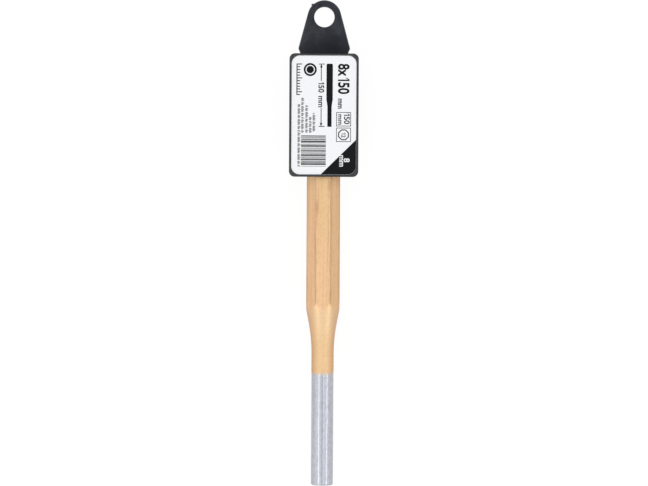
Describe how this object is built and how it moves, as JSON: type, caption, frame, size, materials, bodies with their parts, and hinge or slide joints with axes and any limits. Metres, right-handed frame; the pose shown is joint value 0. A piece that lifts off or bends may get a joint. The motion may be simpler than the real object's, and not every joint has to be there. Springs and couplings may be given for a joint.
{
  "type": "pin punch",
  "caption": "Pin punch: octagonal lacquered shank turned down to a bare straight driving pin, its head end clipped into a plastic hanger with a label panel and a hanging hole.",
  "frame": {"origin": "bottom centre of the whole, on the surface that the shank's rear flat lies on", "axes": "+Y along the punch from its tip to the hanging tab, +Z out of the label, +X to the right of someone reading the front with the tab up"},
  "size_m": [0.025, 0.1756, 0.0141],
  "materials": {
    "lacquered_steel": "satin gold lacquer on steel, ground bare on the driving pin",
    "black_plastic": "satin moulded",
    "label_paper": "semi-gloss printed sticker"
  },
  "bodies": {
    "punch": {"punch": "lacquered_steel"},
    "hanger": {"hanger": "black_plastic", "label": "label_paper"}
  },
  "joints": [
    {"name": "hanger_pull_off", "type": "slide", "parent": "punch", "child": "hanger", "axis": [0, 1, 0], "range_m": [0, 0.04]}
  ]
}
